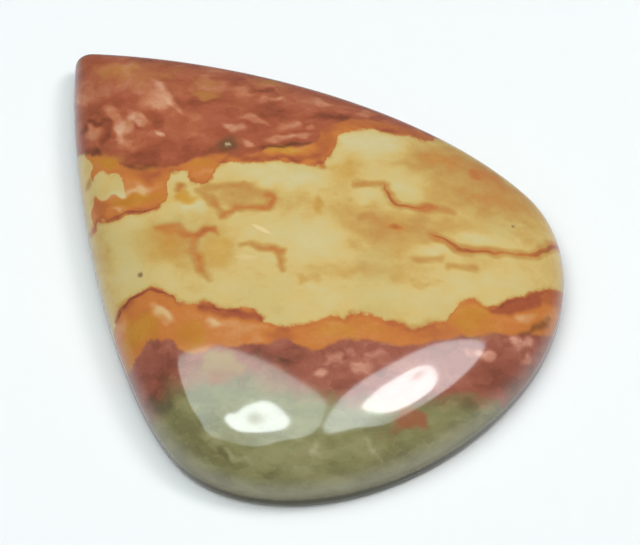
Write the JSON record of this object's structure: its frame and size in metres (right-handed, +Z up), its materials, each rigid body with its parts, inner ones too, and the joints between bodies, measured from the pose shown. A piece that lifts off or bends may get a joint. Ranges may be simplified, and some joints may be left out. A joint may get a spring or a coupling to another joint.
{
  "type": "picture jasper cabochon",
  "caption": "Teardrop cabochon of banded picture jasper, with a polished domed top, an upright girdle and a flat back to rest on or set.",
  "frame": {"origin": "middle of the outline's box, on the flat back", "axes": "+Y towards the point of the teardrop, +X across its width, +Z up through the dome"},
  "size_m": [0.0334, 0.044, 0.0075],
  "materials": {
    "polished_jasper": "opaque banded jasper in cream, ochre, brick red and olive green, polished to a high gloss on the dome and satin on the flat back"
  },
  "bodies": {
    "root": {"jasper_stone": "polished_jasper"}
  },
  "joints": []
}
